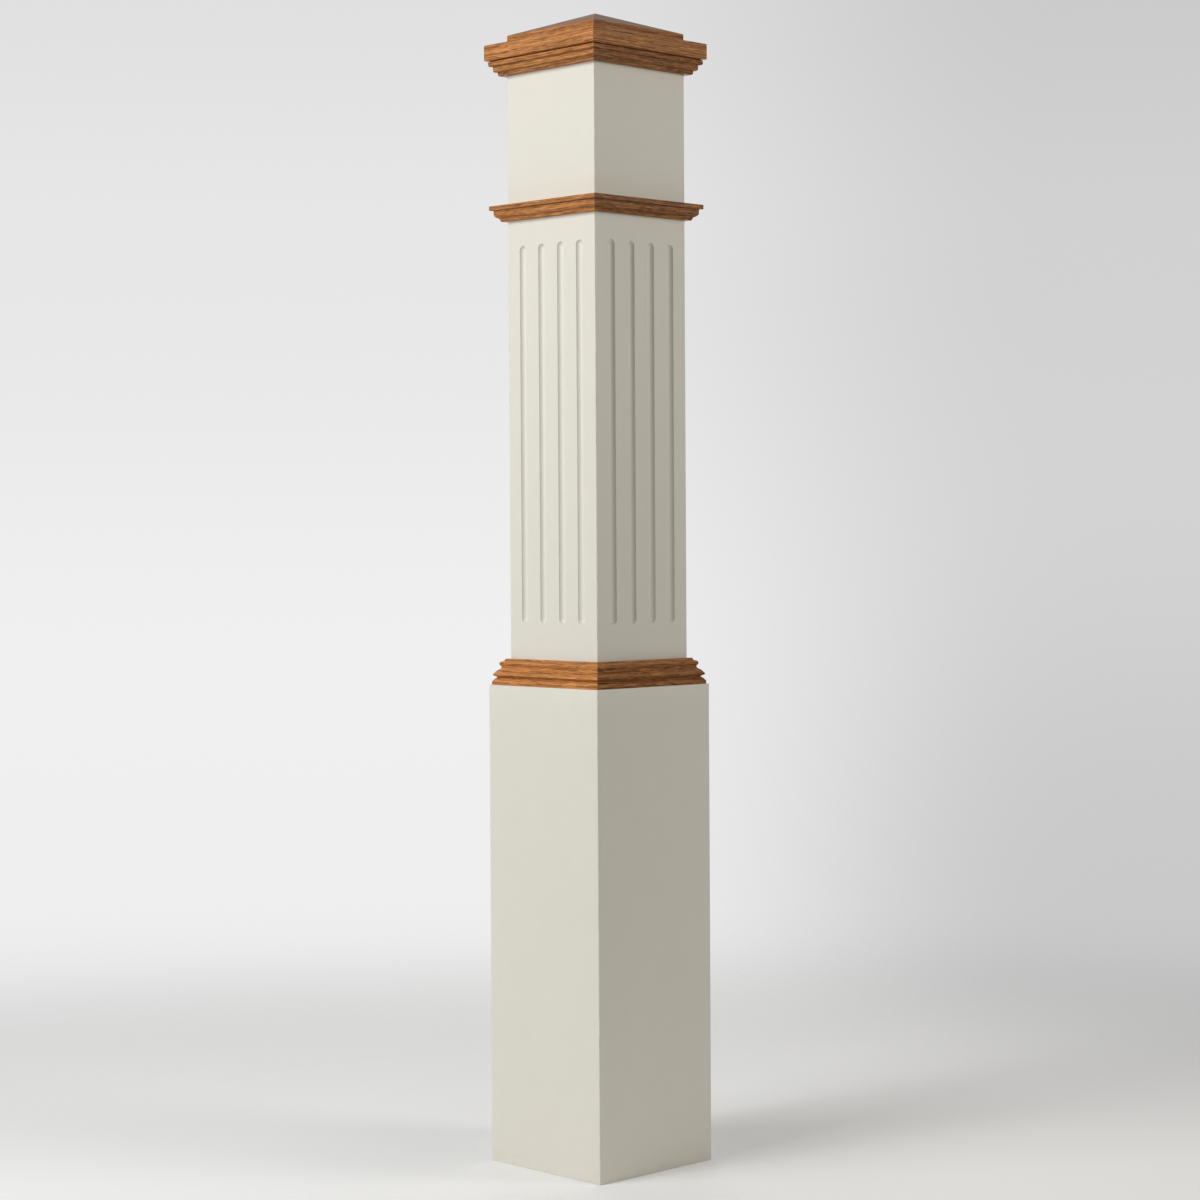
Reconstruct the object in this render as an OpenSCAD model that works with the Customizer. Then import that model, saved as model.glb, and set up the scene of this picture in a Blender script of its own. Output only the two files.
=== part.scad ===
// Square box newel post: a fluted shaft of four mitred boards, a plain lower box wrapped round
// its foot, stained oak mouldings mitred round it at three heights, and a solid oak cap.
// Millimetres, +Z up. The origin is the centre of the foot, on the floor.
// The front faces -Y. Each ring of four pieces runs front, right, back, left.

/* [Shaft] */
// Width of the square shaft, face to face
shaft_w = 152.4; // [130:0.1:200]
// Height of the shaft boards, from the floor to the underside of the cap
shaft_h = 1343; // [1150:1:1620]
// Thickness of the shaft boards
shaft_board_t = 19; // [15:0.5:25]
// Flat taken off the outer corners of shaft and lower box
corner_ease = 0.8; // [0.2:0.1:3]

/* [Lower box] */
// Height of the lower box
box_h = 584.2; // [450:0.1:720]
// Thickness of the lower box boards, which lie flat against the shaft
box_board_t = 19.05; // [17:0.05:26]

/* [Flutes] */
// Number of flutes on each face
flute_count = 4; // [1:1:4]
// Width of a flute at the surface
flute_w = 11.6; // [8:0.1:14]
// Depth of a flute
flute_d = 3.8; // [2:0.1:4]
// Distance between the centre lines of neighbouring flutes
flute_pitch = 32.9; // [20:0.1:36]
// Plain height between the base moulding and the foot of the flutes
flute_foot_gap = 44; // [15:1:80]
// Plain height between the head of the flutes and the collar
flute_head_gap = 31; // [15:1:80]

/* [Base moulding] */
// Height of the moulding that covers the top of the lower box
base_h = 31.75; // [26.5:0.05:40]
// How far its foot stands out from the shaft
base_foot_p = 16.4; // [15.8:0.1:17]
// Height of its square foot
base_foot_h = 3.4; // [2:0.1:4.5]
// How far the groove above the foot stands out
base_groove_p = 11.7; // [9:0.1:13]
// Height of that groove
base_groove_z = 8.8; // [8:0.1:10]
// How far its lower nose stands out
base_lip_p = 15.5; // [14:0.1:16.4]
// Height of the lower nose
base_lip_z = 12.7; // [12:0.1:14]
// How far the hollow between the noses stands out
base_hollow_p = 8.1; // [7:0.1:9.5]
// How far its upper nose stands out
base_nose_p = 9.7; // [8.5:0.1:12]
// Drop from the top of the moulding to the upper nose
base_nose_drop = 6.1; // [5:0.1:7]
// How far the top edge stands out
base_top_p = 4.7; // [3:0.1:6]

/* [Collar] */
// Height of the collar moulding above the flutes
collar_h = 19; // [15.5:0.1:24]
// How far its top band stands out from the shaft
collar_band_p = 16.1; // [14:0.1:20]
// Height of the top band
collar_band_h = 5.4; // [4:0.1:6]
// How far the middle of the collar stands out
collar_body_p = 12.2; // [10:0.1:13]
// Height at which its middle starts to round in
collar_round_z = 8.3; // [7:0.1:9]
// How far it stands out below the rounding
collar_neck_p = 8; // [7:0.1:9]
// Height of the part below the rounding
collar_neck_h = 4.2; // [3:0.1:5]
// How far its foot stands out
collar_foot_p = 5.8; // [4:0.1:6.5]

/* [Head] */
// Height of the plain block between the collar and the cap moulding, where a rail lands
head_block_h = 157.4; // [120:0.1:220]
// Height of the moulding under the cap
cap_moulding_h = 18.5; // [16:0.1:24]
// How far its top stands out from the shaft
cap_moulding_p = 16.2; // [14:0.1:19]
// Height of each of its upper steps
cap_moulding_step_h = 6.9; // [5:0.1:7.5]
// How far each step sits back from the one above
cap_moulding_step_in = 4.2; // [3:0.1:5]
// Radius of the rounding under each step
cap_moulding_round = 2.2; // [1:0.1:2.8]

/* [Cap] */
// How far the cap's lower slab runs out past the moulding under it
cap_overhang = 3.6; // [0:0.1:30]
// Thickness of the lower slab
cap_slab_t = 19; // [12:0.5:30]
// Width of the ledge round the block raised on the slab
cap_ledge = 20; // [5:1:40]
// Height of the raised block
cap_block_h = 12; // [5:0.5:25]
// Rise of the low pyramid on the block
cap_rise = 26; // [10:1:60]
// Flat taken off the cap's edges
cap_ease = 0.6; // [0.2:0.1:2]

/* [Hidden] */
$fn = 64;
PAINT = "#e8e4d6";
OAK = "#b67d4a";

SIDES = ["front", "right", "back", "left"];
RINGS = ["lower_board", "shaft_board", "base_moulding", "collar", "cap_moulding"];

shaft_r = shaft_w / 2;
base_top_z = box_h + base_h;
cap_r = shaft_r + cap_moulding_p + cap_overhang;
cap_moulding_z = shaft_h - cap_moulding_h;
collar_z = cap_moulding_z - head_block_h - collar_h;
flute_foot_z = base_top_z + flute_foot_gap;
flute_head_z = collar_z - flute_head_gap;
// Radius of the cutter that leaves a flute of this width and depth.
flute_r = (flute_w * flute_w / 4 + flute_d * flute_d) / (2 * flute_d);

ARC_STEPS = 8;

// Points of the arc from a to b that swells by s to the right of the way from a to b.
// A negative s makes it hollow.
function bow(a, b, s) =
    let (
        run = b - a,
        chord = norm(run),
        out = [run.y, -run.x] / chord,
        half = 2 * atan(2 * s / chord),
        r = chord / (2 * sin(half))
    )
    [for (i = [0 : ARC_STEPS])
        let (turn = half * (2 * i / ARC_STEPS - 1))
        (a + b) / 2 + run / chord * r * sin(turn) + out * r * (cos(turn) - cos(half))
    ];

// Moulding profiles: x stands out from the shaft, y is the height above the moulding's foot.
// Each is listed from its foot upwards: an outward swell is positive, a hollow negative.
function base_profile() =
    let (
        groove_h = 0.5,
        lip = [base_lip_p, base_lip_z],
        lip_r = 1.5,
        nose = [base_nose_p, base_h - base_nose_drop],
        nose_r = 2.9,
        hollow = [base_hollow_p, nose.y - nose_r - 0.9],
        turn = [(hollow.x + lip.x) / 2 - 1.2, (hollow.y + lip.y) / 2 + 1],
        top_edge_h = 1
    )
    concat(
        [[0, 0], [base_foot_p, 0]],
        bow([base_foot_p, base_foot_h], [base_groove_p, base_groove_z], 0.5),
        bow([base_groove_p, base_groove_z + groove_h], lip - [1, lip_r + 0.3], -0.2),
        bow(lip - [0.6, lip_r], lip + [-0.4, 0.6], 0.45),
        bow(lip + [-0.6, 0.8], turn, 0.3),
        bow(turn, hollow, -0.8),
        bow(hollow + [0.2, 0.9], nose + [-2.5, nose_r], 2.1),
        bow(nose + [-2.7, nose_r], [base_top_p, base_h - top_edge_h], -0.4),
        [[base_top_p, base_h], [0, base_h]]
    );

function collar_profile() =
    let (
        band_z = collar_h - collar_band_h,
        neck = [collar_neck_p, collar_neck_h],
        neck_step = 0.5,
        cove = 0.8
    )
    concat(
        [[0, 0]],
        bow([collar_foot_p, 0], neck - [neck_step, 0], -0.15),
        bow(neck, [collar_body_p, collar_round_z], 0.8),
        bow([collar_body_p, band_z - cove], [collar_body_p + cove, band_z], -0.3),
        [[collar_band_p, band_z], [collar_band_p, collar_h], [0, collar_h]]
    );

function cap_moulding_profile() =
    let (
        r = cap_moulding_round,
        swell = r * (1 - cos(45)),
        top = [for (i = [0 : 2]) cap_moulding_h - i * cap_moulding_step_h],
        foot = [top[1], top[2], 0],
        p = [for (i = [0 : 2]) cap_moulding_p - i * cap_moulding_step_in]
    )
    concat(
        [[0, 0]],
        [for (i = [2 : -1 : 0]) each concat(
            bow([p[i] - r, foot[i]], [p[i], foot[i] + r], swell),
            [[p[i], top[i]]]
        )],
        [[0, cap_moulding_h]]
    );

// One side of a ring, turned from the front to its own side.
module turned(side) {
    rotate([0, 0, 90 * side])
        children();
}

// A front board of a square box, mitred at both ends, with its outer corners eased.
module mitred_board(width, thick, height) {
    r = width / 2;
    e = corner_ease;
    half = [[r - thick, thick - r], [r - e / 2, e / 2 - r], [r - e, -r]];
    linear_extrude(height)
        polygon(concat(half, [for (i = [2 : -1 : 0]) [-half[i].x, half[i].y]]));
}

// A front length of moulding against the shaft, mitred at both ends.
module mitred_moulding(profile) {
    reach = shaft_r + max([for (p = profile) p.x]) + 1;
    tall = max([for (p = profile) p.y]);
    intersection() {
        rotate([90, 0, -90])
            translate([shaft_r, 0, -reach])
                linear_extrude(2 * reach)
                    polygon([for (p = profile) p]);
        translate([0, 0, -1])
            linear_extrude(tall + 2)
                polygon([[0, 0], [-reach, -reach], [reach, -reach]]);
    }
}

// The path of a round-nosed cutter sunk into the front face between two heights.
module flute(x) {
    end = flute_w / 2;
    run = flute_head_z - flute_foot_z - 2 * end;
    translate([x, flute_d - shaft_r - flute_r, flute_foot_z + end])
        rotate([0, 0, -90])
            rotate_extrude()
                intersection() {
                    translate([0, -flute_r])
                        square([flute_r, run + 2 * flute_r]);
                    union() {
                        circle(flute_r);
                        square([flute_r, run]);
                        translate([0, run])
                            circle(flute_r);
                    }
                }
}

module shaft_board(side) {
    color(PAINT)
        turned(side)
            difference() {
                mitred_board(shaft_w, shaft_board_t, shaft_h);
                for (i = [0 : flute_count - 1])
                    flute((i - (flute_count - 1) / 2) * flute_pitch);
            }
}

module lower_board(side) {
    color(PAINT)
        turned(side)
            mitred_board(shaft_w + 2 * box_board_t, box_board_t, box_h);
}

module base_moulding(side) {
    color(OAK)
        translate([0, 0, box_h])
            turned(side)
                mitred_moulding(base_profile());
}

module collar(side) {
    color(OAK)
        translate([0, 0, collar_z])
            turned(side)
                mitred_moulding(collar_profile());
}

module cap_moulding(side) {
    color(OAK)
        translate([0, 0, cap_moulding_z])
            turned(side)
                mitred_moulding(cap_moulding_profile());
}

// The cap's outline from its underside to its point, drawn through both pairs of sides.
module cap_outline() {
    slab = cap_r;
    block = cap_r - cap_ledge;
    slab_z = cap_slab_t;
    block_z = slab_z + cap_block_h;
    e = cap_ease;
    half = [
        [slab - e, 0], [slab, e], [slab, slab_z - e], [slab - e, slab_z],
        [block, slab_z], [block, block_z - e], [block - e, block_z]
    ];
    rotate([90, 0, 0])
        translate([0, 0, -cap_r])
            linear_extrude(2 * cap_r)
                polygon(concat(
                    half,
                    [[0, block_z + cap_rise]],
                    [for (i = [len(half) - 1 : -1 : 0]) [-half[i].x, half[i].y]]
                ));
}

module cap() {
    color(OAK)
        translate([0, 0, shaft_h])
            intersection() {
                cap_outline();
                rotate([0, 0, 90])
                    cap_outline();
            }
}

for (side = [0 : 3]) {
    lower_board(side);
    shaft_board(side);
    base_moulding(side);
    collar(side);
    cap_moulding(side);
}
cap();
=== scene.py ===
import math

import bpy
import numpy as np
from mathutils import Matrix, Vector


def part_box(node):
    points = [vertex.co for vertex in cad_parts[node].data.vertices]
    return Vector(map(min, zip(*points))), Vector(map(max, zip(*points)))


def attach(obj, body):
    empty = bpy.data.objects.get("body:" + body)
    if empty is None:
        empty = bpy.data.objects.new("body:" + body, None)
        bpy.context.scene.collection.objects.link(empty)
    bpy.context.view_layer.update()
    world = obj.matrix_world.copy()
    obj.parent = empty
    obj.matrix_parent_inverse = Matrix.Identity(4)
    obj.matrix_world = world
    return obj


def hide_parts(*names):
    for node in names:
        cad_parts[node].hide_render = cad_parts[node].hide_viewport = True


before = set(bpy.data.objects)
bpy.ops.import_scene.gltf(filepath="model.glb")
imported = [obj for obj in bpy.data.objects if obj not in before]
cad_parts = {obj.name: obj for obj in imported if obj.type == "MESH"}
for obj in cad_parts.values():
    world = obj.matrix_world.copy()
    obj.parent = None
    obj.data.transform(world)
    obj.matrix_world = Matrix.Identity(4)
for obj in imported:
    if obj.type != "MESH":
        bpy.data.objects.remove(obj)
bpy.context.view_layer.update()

# The finish of a square box newel post: painted boards, stained oak mouldings and an oak cap.
# Metres and +Z up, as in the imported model. Profiles, grain and paint are worked in millimetres.
scene = bpy.context.scene


# Camera: at waist height, 3.4 m away, facing the corner between the front and the right side
# through a long lens, so that both sides show alike and the uprights stay upright.
CAMERA_AZIMUTH = math.radians(45.88)
CAMERA_DISTANCE = 3.3896
CAMERA_HEIGHT = 0.7661
CAMERA_YAW = math.radians(0.030)
CAMERA_PITCH = math.radians(-1.337)
CAMERA_ROLL = math.radians(-0.340)
CAMERA_LENS = 83.29
CAMERA_FILM = 36

toward = np.array([-math.sin(CAMERA_AZIMUTH), math.cos(CAMERA_AZIMUTH), 0])
across = np.array([math.cos(CAMERA_AZIMUTH), math.sin(CAMERA_AZIMUTH), 0])
upward = np.array([0, 0, 1.0])
camera_place = np.array([0, 0, CAMERA_HEIGHT]) - toward * CAMERA_DISTANCE


def swing(a, b, angle):
    """Turns two directions that are square to each other in their own plane:
    a cos + b sin, and b cos - a sin."""
    return a * math.cos(angle) + b * math.sin(angle), b * math.cos(angle) - a * math.sin(angle)


view_along, view_right = swing(toward, across, CAMERA_YAW)
view_along, view_up = swing(view_along, upward, CAMERA_PITCH)
view_right, view_up = swing(view_right, view_up, CAMERA_ROLL)
camera_matrix = np.eye(4)
camera_matrix[:3] = np.stack([view_right, view_up, -view_along, camera_place], axis=1)
camera = bpy.data.objects.new("camera", bpy.data.cameras.new("camera"))
camera.data.lens = CAMERA_LENS
camera.data.sensor_width = CAMERA_FILM
camera.matrix_world = camera_matrix.T.tolist()
scene.collection.objects.link(camera)
scene.camera = camera
scene.view_settings.view_transform = "Standard"


# Lower box: four plain boards, mitred at the corners and wrapped round the foot of the shaft.
# Each is a flat board with its outer corners eased by sanding, glued, and sprayed satin ivory.
SIDES = ("front", "right", "back", "left")
CORNER_RADIUS = 1.37e-3
END_EASE = 0.5e-3
EASE_POINTS = 4
BOX_ROW = 24.3e-3
BOX_COLUMNS = 7
WELDS_PER_METRE = 1e7
WELD_OFFSET = 0.317
SHARP_ANGLE = math.radians(38)
MILLIMETRE = 1e-3
IVORY = (0.80, 0.775, 0.68, 1)
THIN_IVORY = (0.62, 0.56, 0.44, 1)
BARE_DARK = (0.46, 0.36, 0.22, 1)
BARE_PALE = (0.62, 0.52, 0.34, 1)
PEEL_HEIGHT = 0.010
BOX_BARE_FROM = 1.2


def turned(points, side):
    """Carries a front piece round to its own side, a quarter turn for each side passed:
    (x, y) goes to (x cos - y sin, x sin + y cos)."""
    quarter = SIDES.index(side)
    cos, sin = (1, 0, -1, 0)[quarter], (0, 1, 0, -1)[quarter]
    x, y, z = np.moveaxis(points, -1, 0)
    return np.stack([x * cos - y * sin, x * sin + y * cos, z], axis=-1)


def block_sides(block):
    """The six outer sides of a block of points, block[across, deep, up], each as a sheet
    whose first direction crossed with its second points out of the block."""
    return [
        block[:, 0], block[::-1, -1], block[0, ::-1], block[-1], block[:, ::-1, 0], block[:, :, -1]
    ]


def solid(name, sheets, dropped=None):
    """One closed mesh from sheets of points. Each cell of a sheet is a four-sided face, save
    the cells dropped from the first sheet. Corners at one place become one corner, and a face
    with two corners at one place becomes a triangle."""
    corners, start = [], 0
    for index, sheet in enumerate(sheets):
        rows, columns = sheet.shape[:2]
        grid = start + np.arange(rows * columns).reshape(rows, columns)
        start += rows * columns
        cells = np.stack([grid[:-1, :-1], grid[1:, :-1], grid[1:, 1:], grid[:-1, 1:]], axis=-1)
        corners.append(cells[~dropped] if index == 0 and dropped is not None
                       else cells.reshape(-1, 4))
    points = np.concatenate([sheet.reshape(-1, 3) for sheet in sheets])
    spots = np.round(points * WELDS_PER_METRE + WELD_OFFSET).astype(np.int64)
    _, first, place = np.unique(spots, axis=0, return_index=True, return_inverse=True)
    faces = place.reshape(-1)[np.concatenate(corners)]
    kept = faces != np.roll(faces, -1, axis=1)
    sized = kept.sum(axis=1) >= 3
    faces, kept = faces[sized], kept[sized]
    counts = kept.sum(axis=1)
    used, loops = np.unique(faces[kept], return_inverse=True)
    mesh = bpy.data.meshes.new(name)
    mesh.vertices.add(len(used))
    mesh.vertices.foreach_set("co", points[first][used].astype(np.float32).ravel())
    mesh.loops.add(len(loops))
    mesh.loops.foreach_set("vertex_index", loops.reshape(-1).astype(np.int32))
    mesh.polygons.add(len(counts))
    mesh.polygons.foreach_set("loop_start", (np.cumsum(counts) - counts).astype(np.int32))
    mesh.update(calc_edges=True)
    mesh.polygons.foreach_set("use_smooth", np.ones(len(counts), dtype=bool))
    mesh.set_sharp_from_angle(angle=SHARP_ANGLE)
    return mesh


def place_piece(name, cad_node, mesh, material):
    """Puts a finished mesh in the scene in place of its CAD node."""
    made = bpy.data.objects.new(name, mesh)
    scene.collection.objects.link(made)
    mesh.materials.append(material)
    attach(made, "root")
    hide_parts(cad_node)


def eased_run(length, ease, spacing):
    """Heights along a board with eased ends: close steps through each easing, then even
    ones. Also gives how far the outer face sits in at each height, which is
    ease - sqrt(ease^2 - rest^2) where rest is the easing still to climb."""
    turn = np.linspace(0, math.pi / 2, EASE_POINTS)
    foot = ease * (1 - np.cos(turn))
    steps = max(2, round(length / spacing))
    middle = np.linspace(ease, length - ease, steps + 1)[1:-1]
    heights = np.concatenate([foot, middle, length - foot[::-1]])
    inset = np.concatenate([ease * (1 - np.sin(turn)), middle * 0, ease * (1 - np.sin(turn[::-1]))])
    return heights, inset


def corner_arc(half, radius, steps=5):
    """The eased corner of a square outline from its face to its mitre: an eighth of a circle
    that touches the face, (half - radius) + radius (sin, cos)."""
    turn = np.linspace(0, math.pi / 4, steps + 1)
    return half - radius + radius * np.sin(turn), half - radius + radius * np.cos(turn)


def board(half, thick, heights, inset, flat_x, layers=4):
    """A front board of a square box as a block[across, deep, up]. Its outer line runs from
    mitre to mitre with eased corners, its inner line is the same line pulled in to the core,
    and the depth between them is filled in evenly."""
    arc_x, arc_y = corner_arc(half, CORNER_RADIUS)
    x = np.concatenate([-arc_x[::-1], flat_x, arc_x])
    y = np.concatenate([-arc_y[::-1], np.full(len(flat_x), -half), -arc_y])
    core = half - thick
    inner_x = x * core / arc_x[-1]
    deep = np.linspace(0, 1, layers)[None, :, None]
    shrink = 1 - inset / half
    outer = np.stack([x[:, None] * shrink, y[:, None] * shrink], axis=-1)[:, None]
    inner = np.stack([inner_x, np.full(len(x), -core)], axis=-1)[:, None, None]
    plan = outer + (inner - outer) * deep[..., None]
    z = np.broadcast_to(heights, plan.shape[:-1])
    return np.concatenate([plan, z[..., None]], axis=-1)


def node(tree, kind, inputs=None, **settings):
    """Adds a node with these settings. Each input takes a value or another node's output."""
    made = tree.nodes.new(kind)
    for key, value in settings.items():
        setattr(made, key, value)
    for key, value in (inputs or {}).items():
        if isinstance(value, bpy.types.NodeSocket):
            tree.links.new(value, made.inputs[key])
        else:
            made.inputs[key].default_value = value
    return made


def sums(tree, operation, *values):
    """The result of one step of arithmetic on numbers."""
    return node(tree, "ShaderNodeMath", dict(enumerate(values)), operation=operation).outputs[0]


def weighted(tree, total, *parts):
    """A starting value plus each (value, weight) multiplied together."""
    for value, weight in parts:
        total = sums(tree, "MULTIPLY_ADD", value, weight, total)
    return total


def vectors(tree, operation, *values, output="Vector"):
    """The result of one step of arithmetic on places, directions or colours."""
    return node(tree, "ShaderNodeVectorMath", dict(enumerate(values)),
                operation=operation).outputs[output]


def scaled(tree, vector, amount):
    """A place or a colour multiplied by one number."""
    return node(tree, "ShaderNodeVectorMath", {0: vector, "Scale": amount},
                operation="SCALE").outputs["Vector"]


def eased(tree, value, low, high, out_low=0.0, out_high=1.0):
    """Carries low..high smoothly on to out_low..out_high, and is flat outside."""
    return node(tree, "ShaderNodeMapRange", {
        "Value": value, "From Min": low, "From Max": high, "To Min": out_low, "To Max": out_high,
    }, interpolation_type="SMOOTHSTEP").outputs["Result"]


def blend(tree, amount, first, second):
    """One colour laid over another."""
    return node(tree, "ShaderNodeMix", {0: amount, 6: first, 7: second},
                data_type="RGBA").outputs[2]


def stretched_noise(tree, place, per_mm, detail=2.0, rough=0.5, output="Fac"):
    """Cloudy values round 0.5 with so many clouds to a millimetre along each axis."""
    return node(tree, "ShaderNodeTexNoise", {
        "Vector": vectors(tree, "MULTIPLY", place, per_mm), "Scale": 1.0,
        "Detail": detail, "Roughness": rough}).outputs[output]


def new_group(name, inputs, outputs):
    """An empty node group with these sockets. Gives its tree, its inputs and its output node."""
    tree = bpy.data.node_groups.new(name, "ShaderNodeTree")
    for label, (kind, value) in inputs.items():
        socket = tree.interface.new_socket(label, in_out="INPUT", socket_type="NodeSocket" + kind)
        socket.default_value = value
    for label, kind in outputs.items():
        tree.interface.new_socket(label, in_out="OUTPUT", socket_type="NodeSocket" + kind)
    return tree, tree.nodes.new("NodeGroupInput").outputs, tree.nodes.new("NodeGroupOutput")


def satin_paint_group():
    """Sprayed satin paint over wood: a fine orange peel, long faint strokes, slow drifts of
    tone, thinner paint along the outer corners, scuffs near the floor, and bare wood inside
    the box. Corner is the half width of the box, and wood nearer the axis than Bare Within
    has no paint, both in mm."""
    tree, given, out = new_group(
        "satin_paint",
        {
            "Paint": ("Color", IVORY),
            "Corner": ("Float", 76.2),
            "Bare Within": ("Float", 73.0),
            "Peel": ("Float", PEEL_HEIGHT),
        },
        {"Color": "Color", "Roughness": "Float", "Height": "Float"},
    )
    place = scaled(tree, node(tree, "ShaderNodeTexCoord").outputs["Object"], 1000.0)
    xyz = node(tree, "ShaderNodeSeparateXYZ", {0: place}).outputs
    out_x = sums(tree, "ABSOLUTE", xyz[0])
    out_y = sums(tree, "ABSOLUTE", xyz[1])
    reach = sums(tree, "MAXIMUM", out_x, out_y)
    from_corner = sums(tree, "SUBTRACT", given["Corner"], sums(tree, "MINIMUM", out_x, out_y))

    drift = stretched_noise(tree, place, (0.009, 0.009, 0.006))
    mottle = stretched_noise(tree, place, (0.055, 0.055, 0.04), 3.0)
    strokes = stretched_noise(tree, place, (0.8, 0.8, 0.014), 3.0)
    peel = stretched_noise(tree, place, (0.42, 0.42, 0.42))
    grit = stretched_noise(tree, place, (2.4, 2.4, 2.4))
    rubs = stretched_noise(tree, place, (0.05, 0.05, 0.35), 4.0)
    grain = stretched_noise(tree, place, (0.35, 0.35, 0.010), 4.0, 0.6)

    corner = eased(tree, from_corner, 2.2, 0.7)
    thin = sums(tree, "MULTIPLY", corner, eased(tree, mottle, 0.50, 0.64))
    near_floor = eased(tree, xyz[2], 45.0, 2.0)
    scuff = sums(tree, "MULTIPLY", near_floor, eased(tree, rubs, 0.55, 0.75))
    tone = weighted(tree, 0.962, (drift, 0.030), (mottle, 0.030), (strokes, 0.016), (scuff, -0.05))
    painted = scaled(tree, given["Paint"], tone)
    painted = blend(tree, sums(tree, "MULTIPLY", thin, 0.30), painted, THIN_IVORY)
    bare = blend(tree, eased(tree, grain, 0.35, 0.7), BARE_DARK, BARE_PALE)
    inside = eased(tree, reach, given["Bare Within"],
                   sums(tree, "SUBTRACT", given["Bare Within"], 0.4))
    tree.links.new(blend(tree, inside, painted, bare), out.inputs["Color"])
    rough = weighted(tree, 0.40, (mottle, 0.10), (grit, 0.05), (inside, 0.35), (corner, -0.06))
    tree.links.new(rough, out.inputs["Roughness"])
    height = weighted(tree, 0.0, (peel, given["Peel"]), (strokes, 0.005), (grit, 0.0012))
    tree.links.new(height, out.inputs["Height"])
    return tree


def finished_material(name, group, settings, shader_settings):
    """A material whose colour, roughness and relief, in mm, come from one node group."""
    material = bpy.data.materials.new(name)
    material.use_nodes = True
    tree = material.node_tree
    shader = tree.nodes["Principled BSDF"]
    for key, value in shader_settings.items():
        shader.inputs[key].default_value = value
    made = node(tree, "ShaderNodeGroup", node_tree=group)
    for key, value in settings.items():
        made.inputs[key].default_value = value
    tree.links.new(made.outputs["Color"], shader.inputs["Base Color"])
    tree.links.new(made.outputs["Roughness"], shader.inputs["Roughness"])
    bump = node(tree, "ShaderNodeBump", {
        "Height": made.outputs["Height"], "Distance": MILLIMETRE, "Strength": 1.0})
    tree.links.new(bump.outputs[0], shader.inputs["Normal"])
    return material


satin_paint = satin_paint_group()


def ivory_paint(name, half, bare_from):
    """The paint on a box of this half width. The wood is bare from so many mm inside it."""
    corner = half * 1000
    return finished_material(
        name, satin_paint,
        {"Paint": IVORY, "Corner": corner, "Bare Within": corner - bare_from,
         "Peel": PEEL_HEIGHT},
        {"IOR": 1.5})


low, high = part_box("lower_board_front")
box_half, box_thick, box_height = -low[1], high[1] - low[1], high[2]
box_paint = ivory_paint("ivory_paint_on_lower_box", box_half, BOX_BARE_FROM)
box_z, box_inset = eased_run(box_height, END_EASE, BOX_ROW)
box_x = np.linspace(-box_half + CORNER_RADIUS, box_half - CORNER_RADIUS, BOX_COLUMNS + 2)[1:-1]
box_block = board(box_half, box_thick, box_z, box_inset, box_x)
for side in SIDES:
    mesh = solid("lower_board_" + side, block_sides(turned(box_block, side)))
    place_piece("painted_lower_board_" + side, "lower_board_" + side, mesh, box_paint)


# Shaft: four boards, mitred and eased as the lower box is, running from the floor to the cap.
# A round-nosed cutter has sunk four stopped flutes into each face, and the paint has softened
# their rims.
FLUTE_COUNT = 4
FLUTE_WIDTH = 11.6e-3
FLUTE_DEPTH = 3.8e-3
FLUTE_PITCH = 32.9e-3
FLUTE_FOOT_GAP = 44e-3
FLUTE_HEAD_GAP = 31e-3
RIM_SOFTNESS = 0.20e-3
FAN_STEPS = 8
FACE_ROWS = np.array([0, 0.38, 0.72])
RIM_ROWS = np.array([1.2, 0.6, 0.3, 0.18, 0.1, 0.04, -0.03, -0.1, -0.2, -0.35, -0.6, -1]) * 1e-3
HOLLOW_ROWS = np.array([0.87, 0.72, 0.56, 0.40, 0.24, 0.10, 0])
FLUTE_ROWS = 36
LOWER_ROWS = 25
UPPER_ROWS = 10
SHAFT_BARE_FROM = 4.6

low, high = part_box("shaft_board_front")
shaft_half, shaft_thick, shaft_height = -low[1], high[1] - low[1], high[2]
base_foot, base_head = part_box("base_moulding_front")[0][2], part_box("base_moulding_front")[1][2]
collar_foot, collar_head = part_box("collar_front")[0][2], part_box("collar_front")[1][2]
cutter_radius = (FLUTE_WIDTH ** 2 / 4 + FLUTE_DEPTH ** 2) / (2 * FLUTE_DEPTH)
low_centre = base_head + FLUTE_FOOT_GAP + FLUTE_WIDTH / 2
high_centre = collar_foot - FLUTE_HEAD_GAP - FLUTE_WIDTH / 2
panel_half = FLUTE_PITCH / 2


def flute_depth(away):
    """How deep the cut is at a distance from the flute's middle line: the cutter's circle,
    sqrt(R^2 - away^2) - (R - depth), run out into the flat face through a rounded rim
    (the larger of the two, plus (k - |cut|)^2 / 4k within k of the rim)."""
    cut = np.sqrt(np.maximum(cutter_radius ** 2 - away ** 2, 0)) - cutter_radius + FLUTE_DEPTH
    near = np.maximum(RIM_SOFTNESS - np.abs(cut), 0)
    return np.maximum(cut, 0) + near ** 2 / (4 * RIM_SOFTNESS)


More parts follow.
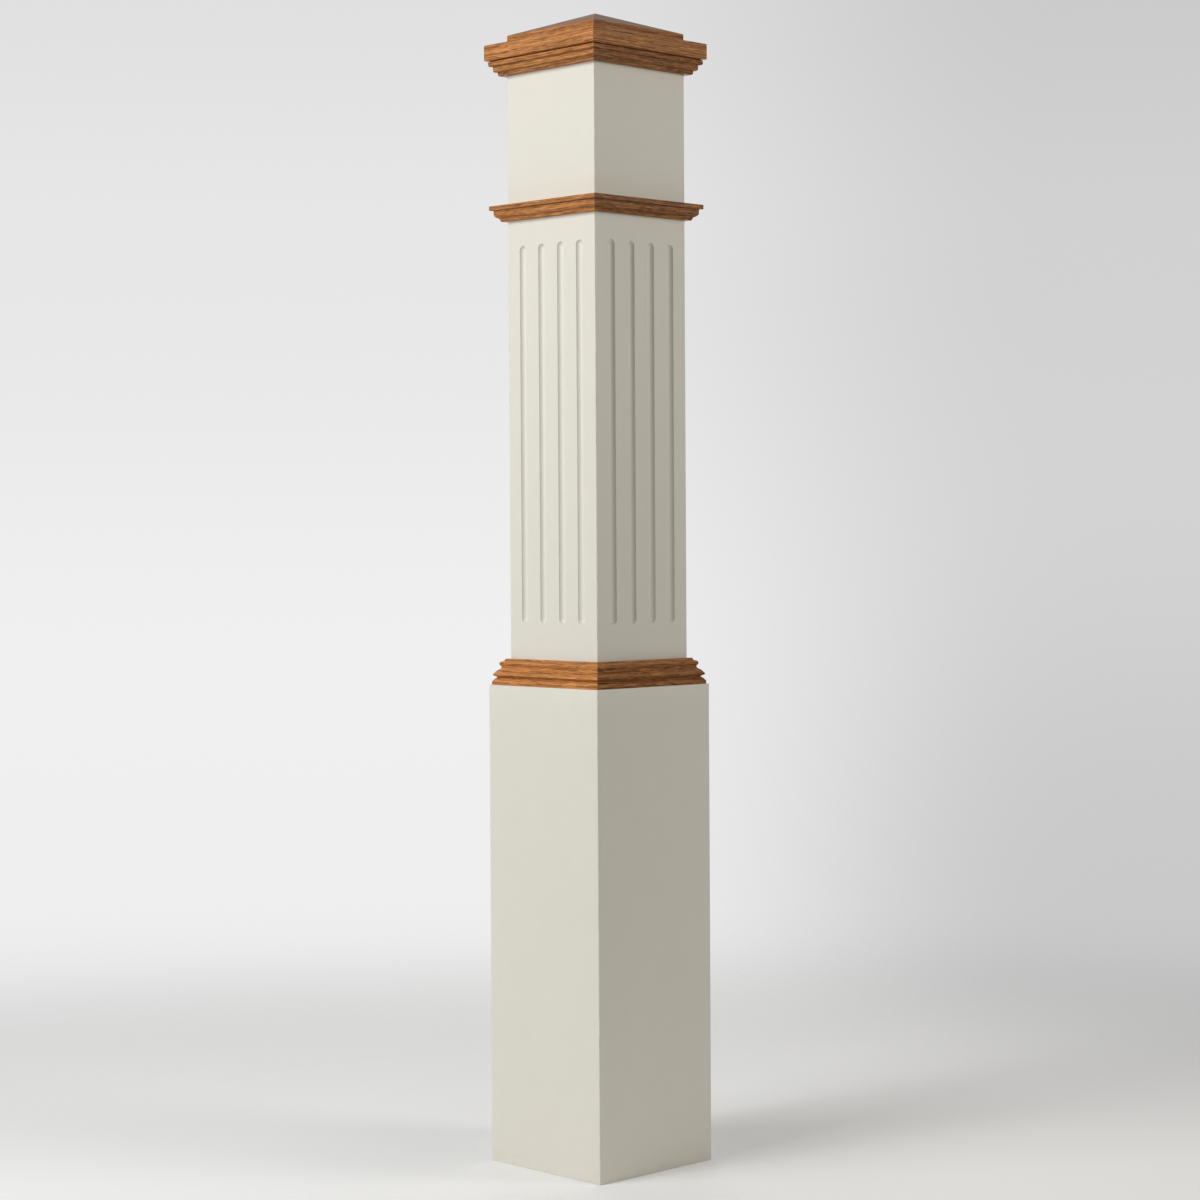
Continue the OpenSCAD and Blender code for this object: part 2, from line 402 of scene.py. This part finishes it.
def flute_sheet(middle_x, straight_z):
    """A stopped flute and the face round it. The first direction goes once round the flute,
    anticlockwise from outside; the second goes from a rectangle round it in to its middle
    line, in rows over the face, over the rim and down into the hollow. Each point lies at
    centre + direction * distance."""
    fan = np.linspace(0, math.pi, 2 * FAN_STEPS + 1)
    angle = np.concatenate([np.zeros(len(straight_z) - 1), fan[:-1],
                            np.full(len(straight_z) - 1, math.pi), math.pi + fan])
    centre = np.concatenate([straight_z[:-1], np.full(len(fan) - 1, straight_z[-1]),
                             straight_z[:0:-1], np.full(len(fan), straight_z[0])])
    cos, sin = np.cos(angle), np.sin(angle)
    border = panel_half / np.maximum(np.abs(cos), np.abs(sin))
    rim = FLUTE_WIDTH / 2 + RIM_ROWS
    fixed = np.concatenate([rim, rim[-1] * HOLLOW_ROWS])
    spread = border[:, None] + (fixed[0] - border[:, None]) * FACE_ROWS
    away = np.concatenate([spread, np.broadcast_to(fixed, (len(angle), len(fixed)))], axis=1)
    depth = flute_depth(away)
    depth[:, 0] = 0
    return np.stack([middle_x + cos[:, None] * away, depth - shaft_half,
                     centre[:, None] + sin[:, None] * away], axis=-1)


straight_z = np.linspace(low_centre, high_centre, FLUTE_ROWS + 1)
fan_cot = np.tan(np.linspace(-math.pi / 4, math.pi / 4, FAN_STEPS + 1)) * panel_half
flute_x = (np.arange(FLUTE_COUNT) - (FLUTE_COUNT - 1) / 2) * FLUTE_PITCH
panels_x = np.concatenate([x + fan_cot[(1 if i else 0):] for i, x in enumerate(flute_x)])
side_x = np.linspace(panels_x[-1], shaft_half - CORNER_RADIUS, 4)[1:-1]
shaft_x = np.concatenate([-side_x[::-1], panels_x, side_x])
end_z, end_inset = eased_run(shaft_height, END_EASE, shaft_height)
end_z, end_inset = end_z[:EASE_POINTS], end_inset[:EASE_POINTS]
lower_z = np.linspace(end_z[-1], low_centre - panel_half, LOWER_ROWS + 1)[1:]
upper_z = np.linspace(high_centre + panel_half, shaft_height - end_z[-1], UPPER_ROWS + 1)[:-1]
half_fan = fan_cot[FAN_STEPS // 2:]
shaft_z = np.concatenate([
    end_z, lower_z[:-1], low_centre - half_fan[::-1], straight_z[1:-1],
    high_centre + half_fan, upper_z[1:], shaft_height - end_z[::-1]])
shaft_inset = np.concatenate([
    end_inset, np.zeros(len(shaft_z) - 2 * EASE_POINTS), end_inset[::-1]])
shaft_block = board(shaft_half, shaft_thick, shaft_z, shaft_inset, shaft_x)
cell_x = (shaft_block[1:, 0, 0, 0] + shaft_block[:-1, 0, 0, 0]) / 2
cell_z = (shaft_z[1:] + shaft_z[:-1]) / 2
fluted = ((np.abs(cell_x) < panels_x[-1])[:, None]
          & ((cell_z > low_centre - panel_half) & (cell_z < high_centre + panel_half))[None])
shaft_paint = ivory_paint("ivory_paint_on_shaft", shaft_half, SHAFT_BARE_FROM)
for side in SIDES:
    sheets = block_sides(shaft_block) + [flute_sheet(x, straight_z) for x in flute_x]
    mesh = solid("shaft_board_" + side, [turned(sheet, side) for sheet in sheets], fluted)
    place_piece("painted_shaft_board_" + side, "shaft_board_" + side, mesh, shaft_paint)


# Base moulding: four lengths of oak moulding, mitred round the shaft, that cover the top ends
# of the lower box's boards. Machined to an ogee over a nose, a groove and a square foot,
# sanded, stained golden brown and lacquered.
OAK_SHADES = {"Pale Wood": (0.665, 0.290, 0.092, 1), "Dense Wood": (0.43, 0.166, 0.045, 1),
              "Pore Stain": (0.10, 0.032, 0.008, 1)}
SMOOTHED_PASSES = 14
FULL_RELIEF = 0.35
LENGTH_STEPS = 24
BACK_SHARE = 0.88


def bow(a, b, swell, steps=12):
    """Points of the arc from a to b that swells by so much to the right of the way there."""
    a, b = np.array(a, float), np.array(b, float)
    run = b - a
    chord = np.linalg.norm(run)
    out = np.array([run[1], -run[0]]) / chord
    half = 2 * math.atan(2 * swell / chord)
    radius = chord / (2 * math.sin(half))
    turn = half * np.linspace(-1, 1, steps + 1)[:, None]
    return (a + b) / 2 + run / chord * radius * np.sin(turn) \
        + out * radius * (np.cos(turn) - math.cos(half))


def base_profile(height):
    """Outline from the back of the foot to the back of the top, (out from shaft, up) in mm:
    a square foot, a groove, a lip, a hollow and a nose under the top edge."""
    lip, nose = np.array([15.5, 12.7]), np.array([9.7, height - 6.1])
    hollow = np.array([8.1, nose[1] - 3.8])
    bend = (hollow + lip) / 2 + [-1.2, 1]
    return np.concatenate([
        [[0, 0], [16.4, 0]],
        bow([16.4, 3.4], [11.7, 8.8], 0.5),
        bow([11.7, 9.3], lip - [1, 1.8], -0.2),
        bow(lip - [0.6, 1.5], lip + [-0.4, 0.6], 0.45),
        bow(lip + [-0.6, 0.8], bend, 0.3),
        bow(bend, hollow, -0.8),
        bow(hollow + [0.2, 0.9], nose + [-2.5, 2.9], 2.1),
        bow(nose + [-2.7, 2.9], [4.7, height - 1], -0.4),
        [[4.7, height], [0, height]],
    ])


def sanded(outline, step=0.32, passes=2):
    """An outline cut into even steps, with each point then drawn towards its neighbours'
    mean, which rounds every edge by about a step as sanding does. The ends stay where they
    are. Also gives the relief: how far each point stands out from the same outline drawn in
    by many more passes, so a nose is above nought and a groove below it."""
    gaps = np.linalg.norm(np.diff(outline, axis=0), axis=1)
    outline = outline[np.concatenate([[True], gaps > 1e-6])]
    along = np.concatenate([[0], np.cumsum(np.linalg.norm(np.diff(outline, axis=0), axis=1))])
    even = np.linspace(0, along[-1], round(along[-1] / step) + 1)
    line = np.stack([np.interp(even, along, outline[:, k]) for k in (0, 1)], axis=-1)

    def smoothed(points, times):
        for _ in range(times):
            points = np.concatenate([points[:1], (points[:-2] + 2 * points[1:-1] + points[2:]) / 4,
                                     points[-1:]])
        return points

    fine = smoothed(line, passes)
    gone = fine - smoothed(fine, SMOOTHED_PASSES)
    run = np.gradient(fine, axis=0)
    normal = np.stack([run[:, 1], -run[:, 0]], axis=-1)
    normal /= np.linalg.norm(normal, axis=1, keepdims=True)
    return fine, np.clip((gone * normal).sum(axis=1) / FULL_RELIEF, -1, 1)


def stained_oak_group():
    """Open-grained oak, stained golden brown, worked out through the whole thickness of
    the stock it was cut from. The stock attribute holds (along the grain, and two distances
    across it from the middle of the tree) in mm. Growth rings are the distance from that
    middle over the ring width, bent by slow noise. Each ring starts with a band of open pores,
    long thin cells that hold the dark Pore Stain and dent the lacquer, and ends in dense plain
    wood. Rays are thin sheets that run outwards from the middle. The relief attribute darkens
    grooves with painted shade, and a third attribute multiplies a piece's colour by how pale
    it is, from its staining and from painted light and shade."""
    tree, given, out = new_group(
        "stained_oak",
        {
            "Pale Wood": ("Color", OAK_SHADES["Pale Wood"]),
            "Dense Wood": ("Color", OAK_SHADES["Dense Wood"]),
            "Pore Stain": ("Color", OAK_SHADES["Pore Stain"]),
            "Ring Width": ("Float", 3.6),
            "Pore Depth": ("Float", 0.05),
            "Contrast": ("Float", 1.0),
        },
        {"Color": "Color", "Roughness": "Float", "Height": "Float"},
    )
    stock = node(tree, "ShaderNodeAttribute", attribute_name="stock").outputs["Vector"]
    relief = node(tree, "ShaderNodeAttribute", attribute_name="relief").outputs["Fac"]
    stain_and_painted_shade = node(tree, "ShaderNodeAttribute", attribute_name="stain_and_painted_shade").outputs["Fac"]

    def wandering(place, per_mm, by):
        """A place moved up to half of so many mm across the grain by a cloudy noise."""
        cloud = stretched_noise(tree, place, per_mm, output="Color")
        centred = vectors(tree, "SUBTRACT", cloud, (0.5, 0.5, 0.5))
        return vectors(tree, "ADD", place, vectors(tree, "MULTIPLY", centred, (0, by, by)))

    def cells(per_mm, low, high):
        """Long cells scattered through the wood, full within low of their middles and gone
        beyond high."""
        away = node(tree, "ShaderNodeTexVoronoi", {
            "Vector": vectors(tree, "MULTIPLY", bent, per_mm), "Scale": 1.0,
            "Randomness": 1.0}).outputs["Distance"]
        return eased(tree, away, high, low)

    # Rings: the year runs from 0 to 1 across each, and each has its own strength.
    bent = wandering(wandering(stock, (0.006, 0.015, 0.015), 5.0), (0.035, 0.12, 0.12), 0.9)
    xyz = node(tree, "ShaderNodeSeparateXYZ", {0: bent}).outputs
    flat = node(tree, "ShaderNodeCombineXYZ", {1: xyz[1], 2: xyz[2]}).outputs[0]
    distance = vectors(tree, "LENGTH", flat, output="Value")
    seasons = node(tree, "ShaderNodeTexNoise", {
        "W": sums(tree, "MULTIPLY", distance, 0.11), "Scale": 1.0, "Detail": 1.0,
    }, noise_dimensions="1D").outputs["Fac"]
    rings = weighted(tree, sums(tree, "DIVIDE", distance, given["Ring Width"]), (seasons, 2.2))
    year = sums(tree, "FRACT", rings)
    strength = node(tree, "ShaderNodeTexWhiteNoise", {"W": sums(tree, "FLOOR", rings)},
                    noise_dimensions="1D").outputs["Value"]
    opening = sums(tree, "MULTIPLY", eased(tree, year, 0.0, 0.05), eased(tree, year, 0.42, 0.12))
    opening = sums(tree, "MULTIPLY", opening, weighted(tree, 0.45, (strength, 0.55)))

    # Pores: large ones crowd into the opening of each ring, small ones lie everywhere.
    in_band = weighted(tree, 0.30, (opening, 0.9))
    large = sums(tree, "MULTIPLY", cells((0.060, 1.25, 1.25), 0.20, 0.46), in_band)
    small = cells((0.11, 2.6, 2.6), 0.14, 0.34)
    pores = sums(tree, "MINIMUM", weighted(tree, large, (small, 0.48)), 1.0)
    rows = eased(tree, stretched_noise(tree, bent, (0.034, 0.62, 0.62)), 0.51, 0.58)
    row_share = sums(tree, "MINIMUM", sums(tree, "ADD", in_band, 0.15), 1.0)
    rows = sums(tree, "MULTIPLY", rows, row_share)

    # Fibres, flecks, streaks and clouds vary the wood between the pores.
    fibre = stretched_noise(tree, bent, (0.03, 1.1, 1.1), 4.0, 0.62)
    fleck = stretched_noise(tree, bent, (0.085, 0.80, 0.80), 5.0, 0.70)
    streak = stretched_noise(tree, bent, (0.010, 0.45, 0.45), 4.0, 0.6)
    cloud = stretched_noise(tree, stock, (0.010, 0.03, 0.03))
    turn = sums(tree, "MULTIPLY", sums(tree, "ARCTAN2", xyz[1], xyz[2]), 95.0)
    sheet = node(tree, "ShaderNodeCombineXYZ", {0: xyz[0], 1: turn, 2: distance}).outputs[0]
    rays = eased(tree, stretched_noise(tree, sheet, (0.055, 1.2, 0.09), 1.0), 0.62, 0.74)

    dense = weighted(tree, eased(tree, year, 0.30, 1.0, 0.0, 0.45),
                     (eased(tree, streak, 0.36, 0.62), 0.55))
    colour = blend(tree, dense, given["Pale Wood"], given["Dense Wood"])
    for amount, share, shade in ((opening, 0.48, "Pore Stain"), (rows, 0.72, "Pore Stain"),
                                 (pores, 0.80, "Pore Stain"), (rays, 0.28, "Pale Wood")):
        colour = blend(tree, sums(tree, "MULTIPLY", amount, share), colour, given[shade])
    varied = weighted(tree, -1.005, (fibre, 0.66), (fleck, 1.35))
    varied = sums(tree, "MULTIPLY", varied, eased(tree, stain_and_painted_shade, 0.5, 1.1, 1.75, 0.85))
    # The tone darkens grooves by up to 0.38 as painted shade in the hollows, and the colour is then
    # multiplied by each piece's paleness, which holds painted light and shade as well as its
    # staining.
    tone = weighted(tree, 0.93, (varied, given["Contrast"]), (cloud, 0.18),
                    (eased(tree, relief, -0.2, -0.95), -0.38))
    colour = scaled(tree, colour, sums(tree, "MULTIPLY", tone, stain_and_painted_shade))
    rubbed = sums(tree, "MULTIPLY", eased(tree, relief, 0.25, 0.9), eased(tree, fibre, 0.42, 0.62))
    colour = blend(tree, sums(tree, "MULTIPLY", rubbed, 0.08), colour, given["Pale Wood"])
    tree.links.new(colour, out.inputs["Color"])
    rough = weighted(tree, 0.36, (pores, 0.20), (cloud, 0.08))
    tree.links.new(rough, out.inputs["Roughness"])
    dent = sums(tree, "MULTIPLY", given["Pore Depth"], -1.0)
    tree.links.new(weighted(tree, 0.0, (pores, dent), (fibre, 0.010)), out.inputs["Height"])
    return tree


stained_oak = stained_oak_group()


def oak_material(name, contrast):
    """The stained oak with its grain shown this strongly, under a thin satin lacquer."""
    return finished_material(name, stained_oak, {**OAK_SHADES, "Contrast": contrast},
                             {"IOR": 1.45, "Specular IOR Level": 0.18})


def lay_grain(mesh, place, cut, pith, shift, stain_and_painted_shade, relief):
    """Writes where each corner of a piece lay in the tree, and how pale the piece is, from its
    staining and from painted light and shade. place holds (along the grain, up, out) in mm.
    The two across it are turned by the angle in degrees that the stock was sawn at, and moved
    out from the middle of the tree: (up cos - out sin, up sin + out cos + pith)."""
    along, up, out = place.T
    cos, sin = np.cos(np.radians(cut)), np.sin(np.radians(cut))
    stock = np.stack([along + shift, up * cos - out * sin, up * sin + out * cos + pith], axis=-1)
    mesh.attributes.new("stock", "FLOAT_VECTOR", "POINT").data.foreach_set(
        "vector", stock.astype(np.float32).ravel())
    for name, values in (("relief", relief), ("stain_and_painted_shade", stain_and_painted_shade + 0 * along)):
        mesh.attributes.new(name, "FLOAT", "POINT").data.foreach_set(
            "value", values.astype(np.float32))


def corners_of(mesh):
    """A mesh's corners as an array."""
    flat = np.empty(len(mesh.vertices) * 3, dtype=np.float32)
    mesh.vertices.foreach_get("co", flat)
    return flat.reshape(-1, 3).astype(float)


def mitred_lengths(ring, profile, foot, cuts, relief_share=1.0):
    """Four lengths of one moulding mitred round the shaft. A point of the profile that
    stands out by p and up by h lies at (s (half + p), -(half + p), foot + h), with s from
    -1 at one mitre to 1 at the other. The back is flat against the shaft, and its points
    rise with the outline's without ever turning back. Each length came from its own strip
    of stock, and cuts gives for each (angle it was sawn at, distance from the middle of the
    tree, place along the tree, how pale it is, from its staining and from painted shade).
    That paleness is painted light and shade set to suit this staging light, so front and
    right lengths differ more than staining from one pot would make them."""
    line, relief = sanded(profile)
    out, up = line[:, 0] * 1e-3, np.clip(line[:, 1], 0, None) * 1e-3
    spread = np.linspace(-1, 1, LENGTH_STEPS + 1)[:, None, None]
    deep = np.array([1, 0.5, 0])[None, :, None]
    reach = shaft_half + out[None, None] * deep
    back_up = BACK_SHARE * np.maximum.accumulate(up) \
        + (1 - BACK_SHARE) * np.linspace(0, up[-1], len(up))
    rise = up[None, None] * deep + back_up[None, None] * (1 - deep)
    block = np.stack(np.broadcast_arrays(spread * reach, -reach, foot + rise), axis=-1)
    for index, side in enumerate(SIDES):
        mesh = solid(ring + "_" + side, [turned(sheet, side) for sheet in block_sides(block)])
        x, y, z = turned(corners_of(mesh), SIDES[-index % 4]).T * 1000
        stands_out, stands_up = -y - shaft_half * 1000, z - foot * 1000
        nearest = ((stands_out[:, None] - line[:, 0]) ** 2
                   + (stands_up[:, None] - line[:, 1]) ** 2).argmin(axis=1)
        cut, pith, shift, stain_and_painted_shade = cuts[index]
        lay_grain(mesh, np.stack([x, stands_up, stands_out], axis=-1),
                  cut, pith, shift, stain_and_painted_shade, relief_share * relief[nearest])
        place_piece("oak_" + ring + "_" + side, ring + "_" + side, mesh, moulding_oak)


moulding_oak = oak_material("stained_oak_base_moulding", 1.75)
# The last number of each cut sets how pale a length is: painted light on the front length and
# painted shade on the right one, over small real differences in staining.
mitred_lengths(
    "base_moulding", base_profile((base_head - base_foot) * 1000), base_foot,
    [(72, 74, 140, 1.16), (66, 96, 1370, 0.72), (80, 82, 2610, 0.85), (60, 68, 3880, 1.0)])


# Collar: four mitred lengths of a small oak moulding below the plain head of the shaft,
# a square band over a rounded body and a narrow neck, stained as the base moulding is.
def collar_profile(height):
    """Outline from the back of the foot to the back of the top, (out from shaft, up) in mm."""
    band, neck = height - 5.4, np.array([8, 4.2])
    return np.concatenate([
        [[0, 0]],
        bow([5.8, 0], neck - [0.5, 0], -0.15),
        bow(neck, [12.2, 8.3], 0.8),
        bow([12.2, band - 0.8], [13, band], -0.3),
        [[16.1, band], [16.1, height], [0, height]],
    ])


# The last number of each cut holds painted shade on the right length, as at the base.
mitred_lengths(
    "collar", collar_profile((collar_head - collar_foot) * 1000), collar_foot,
    [(80, 88, 5120, 0.98), (68, 71, 6400, 0.58), (62, 93, 7630, 0.80), (74, 79, 8890, 0.92)])


# Cap moulding: four mitred lengths of oak under the cap, cut in three steps, each with its
# lower edge rounded and the uppermost one's top edge eased where it meets the cap.
STEP_RISE = 6.9
STEP_OUT = 4.2
STEP_ROUND = 2.2
TOP_EASE = 1.5


def cap_moulding_profile(height):
    """Outline from the back of the foot to the back of the top, (out from shaft, up) in mm."""
    top = [height - step * STEP_RISE for step in range(3)]
    foot = [top[1], top[2], 0]
    out = [16.2 - step * STEP_OUT for step in range(3)]
    steps = [
        np.concatenate([
            bow([out[k] - STEP_ROUND, foot[k]], [out[k], foot[k] + STEP_ROUND], 0.644),
            [[out[k], top[k]]]])
        for k in (2, 1, 0)]
    steps[-1][-1, 1] -= TOP_EASE
    return np.concatenate([[[0, 0]]] + steps + [[[out[0] - 2.4, height], [0, height]]])


low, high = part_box("cap_moulding_front")
# The last number of each cut holds painted shade on the right length. This moulding's grooves take
# 0.15 of the painted shade that the others' grooves take.
mitred_lengths(
    "cap_moulding", cap_moulding_profile((high[2] - low[2]) * 1000), low[2],
    [(70, 84, 10140, 0.92), (76, 66, 11420, 0.60), (64, 90, 12660, 0.86), (58, 77, 13900, 0.78)],
    relief_share=0.15)


# Cap: glued up from four solid oak wedges mitred at the corners, so that long grain runs
# round it. A square slab with a smaller block worked on it, drawn in to a low point, the
# edges just taken off, stained and lacquered with the mouldings.
CAP_LEDGE = 20.0
CAP_BLOCK = 12.0
CAP_SLAB = 19.0
CAP_EASE = 0.6
CAP_CORNER = 0.8
CAP_THINNING = 8
WEDGE_CUT = np.array([74, 58, 66, 80])
WEDGE_PITH = np.array([64, 52, 70, 58])
WEDGE_STAIN = np.array([1, 0.88, 0.95, 1.03])
WEDGE_SHIFT = 1310
CAP_SHIFT = 15200.0

low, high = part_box("cap")
cap_half, cap_foot, cap_height = high[0] * 1000, low[2] * 1000, (high[2] - low[2]) * 1000
block_half, block_head = cap_half - CAP_LEDGE, CAP_SLAB + CAP_BLOCK
cap_outline = np.array([
    [0, 0], [cap_half - CAP_EASE, 0], [cap_half, CAP_EASE], [cap_half, CAP_SLAB - CAP_EASE],
    [cap_half - CAP_EASE, CAP_SLAB], [block_half, CAP_SLAB],
    [block_half, block_head - CAP_EASE], [block_half - CAP_EASE, block_head],
    [0, cap_height]])


def square_rings(outline, side_steps=28, corner_steps=4):
    """An outline of (half width, height) carried round a square. Each ring is a square of
    that half width whose corners are small arcs, smaller still near a point."""
    half, up = outline.T
    radius = np.minimum(CAP_CORNER, half * 0.25)
    turn = np.linspace(0, math.pi / 2, corner_steps + 1)
    straight = np.linspace(-1, 1, side_steps + 1)[1:-1]
    flat = half - radius
    x = np.concatenate([flat + radius * np.cos(turn[:, None] - math.pi / 2),
                        np.broadcast_to(half, (len(straight), len(half)))])
    y = np.concatenate([-flat + radius * np.sin(turn[:, None] - math.pi / 2),
                        straight[:, None] * flat])
    side = np.stack([x, y, np.broadcast_to(up, x.shape)], axis=-1)
    rings = [turned(side, name) for name in SIDES]
    return np.concatenate(rings + [rings[0][:1]])


cap_line, cap_relief = sanded(cap_outline, 0.5, 1)
flat_run = np.abs(cap_relief) < 1e-3
thinned = ~flat_run | (np.arange(len(cap_line)) % CAP_THINNING == 0)
thinned[[0, -1]] = True
cap_line, cap_relief = cap_line[thinned], cap_relief[thinned]
cap_mesh = solid("cap", [square_rings(cap_line) * 1e-3 + [0, 0, cap_foot * 1e-3]])

cap_x, cap_y, cap_z = corners_of(cap_mesh).T * 1000
cap_up = cap_z - cap_foot
cap_reach = np.maximum(np.abs(cap_x), np.abs(cap_y))
nearest = ((cap_reach[:, None] - cap_line[:, 0]) ** 2
           + (cap_up[:, None] - cap_line[:, 1]) ** 2).argmin(axis=1)
wedge = np.where(np.abs(cap_x) > np.abs(cap_y),
                 np.where(cap_x > 0, 1, 3), np.where(cap_y > 0, 2, 0))
along = np.select([wedge == k for k in range(4)], [cap_x, cap_y, -cap_x, -cap_y])
# The block's sides are painted a little darker than the slab's and the sloping top much
# darker: painted shade, set to suit this staging light, not taken from a known difference in
# how the wood was stained.
painted_shade_by_height = np.interp(cap_up, [CAP_SLAB, CAP_SLAB + 4, block_head - 1, block_head + 1],
                      [1, 0.92, 0.92, 0.62])
lay_grain(cap_mesh, np.stack([along, cap_up, cap_reach - cap_half], axis=-1),
          WEDGE_CUT[wedge], WEDGE_PITH[wedge], CAP_SHIFT + WEDGE_SHIFT * wedge,
          WEDGE_STAIN[wedge] * painted_shade_by_height, cap_relief[nearest])
place_piece("oak_cap", "cap", cap_mesh, oak_material("stained_oak_cap", 1.35))


# Floor: a round of pale paper a hair below the post's foot, that fades into the backdrop, so
# no edge or corner shows. A faint glow, seen only by the camera, stands for light that the
# paper would catch from the rest of a white studio. The glow is weaker near the post, a
# painted shade round its foot.
FLOOR_RADIUS = 3.0
FLOOR_DROP = 0.2e-3
FLOOR_FADE = (1.9, 0.55)
FLOOR_GLOW = (0.100, 0.135)
ring = np.linspace(0, 1, 40)[:, None] ** 1.5 * FLOOR_RADIUS
round_angle = np.linspace(0, 2 * math.pi, 73)[None]
floor_sheet = np.stack(np.broadcast_arrays(
    ring * np.cos(round_angle), ring * np.sin(round_angle), 0 * ring - FLOOR_DROP), axis=-1)
floor = bpy.data.objects.new("floor", solid("floor", [floor_sheet]))
scene.collection.objects.link(floor)
paper = bpy.data.materials.new("paper_floor")
paper.use_nodes = True
tree = paper.node_tree
paper_shader = tree.nodes["Principled BSDF"]
paper_shader.inputs["Base Color"].default_value = (0.90, 0.90, 0.893, 1)
paper_shader.inputs["Roughness"].default_value = 0.85
paper_shader.inputs["Emission Color"].default_value = (1, 1, 1, 1)
place = node(tree, "ShaderNodeTexCoord").outputs["Object"]
away = vectors(tree, "LENGTH", place, output="Value")
tree.links.new(eased(tree, away, *FLOOR_FADE), paper_shader.inputs["Alpha"])
seen_directly = node(tree, "ShaderNodeLightPath").outputs["Is Camera Ray"]
# The glow falls from 0.135 beyond 0.5 m to 0.100 within 0.15 m of the post's axis: painted shade
# round its foot.
glow = sums(tree, "MULTIPLY", seen_directly, eased(tree, away, 0.15, 0.5, *FLOOR_GLOW))
tree.links.new(glow, paper_shader.inputs["Emission Strength"])
floor.data.materials.append(paper)


# Light: a large soft box low to the left of the front, a smaller one above the front, a tall
# warm one beyond the right side, and one behind the post that lights the floor.
WARM = (1, 0.96, 0.88)


def soft_box(name, azimuth, elevation, distance, aim, size, power, colour=(1, 1, 1)):
    """A lamp of this width and height that faces the post's axis at the height aim. Azimuth
    turns from the front (-Y) towards the right (+X)."""
    azimuth, elevation = math.radians(azimuth), math.radians(elevation)
    direction = np.array([math.sin(azimuth) * math.cos(elevation),
                          -math.cos(azimuth) * math.cos(elevation), math.sin(elevation)])
    side = np.array([math.cos(azimuth), math.sin(azimuth), 0])
    lamp = bpy.data.objects.new(name, bpy.data.lights.new(name, "AREA"))
    lamp.data.shape = "RECTANGLE"
    lamp.data.size, lamp.data.size_y = size
    lamp.data.energy = power
    lamp.data.color = colour
    matrix = np.eye(4)
    matrix[:3] = np.stack([side, np.cross(direction, side), direction,
                           direction * distance + [0, 0, aim]], axis=1)
    lamp.matrix_world = matrix.T.tolist()
    lamp.visible_camera = False
    scene.collection.objects.link(lamp)


soft_box("key_light", -18, 13, 2.6, 0.9, (1.4, 1.4), 32.0)
soft_box("top_light", -3, 42, 2.8, 0.5, (0.8, 0.8), 20.0)
soft_box("fill_light", 120, 7, 2.0, 1.24, (0.7, 1.3), 13.3, WARM)
soft_box("back_light", 228, 14, 2.6, 0.6, (1.5, 1.2), 10.0)


# Backdrop and room: a pale wall whose tone changes with height and falls off to the right and
# into the lower right corner. The camera sees it, and so do glossy reflections that run on
# past the post. Everything else is lit by a plain dim room.
BACKDROP_TONES = (
    (-0.40, 0.80), (-0.22, 0.78), (-0.185, 0.70), (-0.13, 0.86),
    (-0.05, 0.87), (0.10, 0.80), (0.20, 0.745), (0.60, 0.60),
)
RIGHT_DIM = 0.80
CORNER_DIM = 0.85
ROOM = (0.182, 0.182, 0.182, 1)

world = bpy.data.worlds.new("studio")
scene.world = world
world.use_nodes = True
tree = world.node_tree
tree.nodes.clear()
direction = node(tree, "ShaderNodeTexCoord").outputs["Generated"]
height = node(tree, "ShaderNodeSeparateXYZ", {0: direction}).outputs[2]
sideways = vectors(tree, "DOT_PRODUCT", direction, tuple(across), output="Value")
ahead = vectors(tree, "DOT_PRODUCT", direction, tuple(toward), output="Value")
half_height = sums(tree, "MULTIPLY", sums(tree, "ADD", height, 1.0), 0.5)
wall = node(tree, "ShaderNodeValToRGB", {0: half_height})
wall.color_ramp.interpolation = "EASE"
while len(wall.color_ramp.elements) < len(BACKDROP_TONES):
    wall.color_ramp.elements.new(0.5)
for element, (z, tone) in zip(wall.color_ramp.elements, BACKDROP_TONES):
    element.position = (z + 1) / 2
    element.color = (tone, tone, tone, 1)
to_right = eased(tree, sideways, -0.03, 0.16, 1.0, RIGHT_DIM)
corner = sums(tree, "MULTIPLY", eased(tree, sideways, 0.0, 0.19), eased(tree, height, 0.12, -0.16))
dimmed = sums(tree, "MULTIPLY", to_right, eased(tree, corner, 0.0, 1.0, 1.0, CORNER_DIM))
seen = scaled(tree, wall.outputs[0], dimmed)
ray = node(tree, "ShaderNodeLightPath").outputs
mirrored = sums(tree, "MULTIPLY", ray["Is Glossy Ray"], eased(tree, ahead, 0.0, 0.5))
shows_wall = sums(tree, "MAXIMUM", ray["Is Camera Ray"], mirrored)
background = node(tree, "ShaderNodeBackground", {0: blend(tree, shows_wall, ROOM, seen), 1: 1.0})
tree.links.new(background.outputs[0], node(tree, "ShaderNodeOutputWorld").inputs[0])
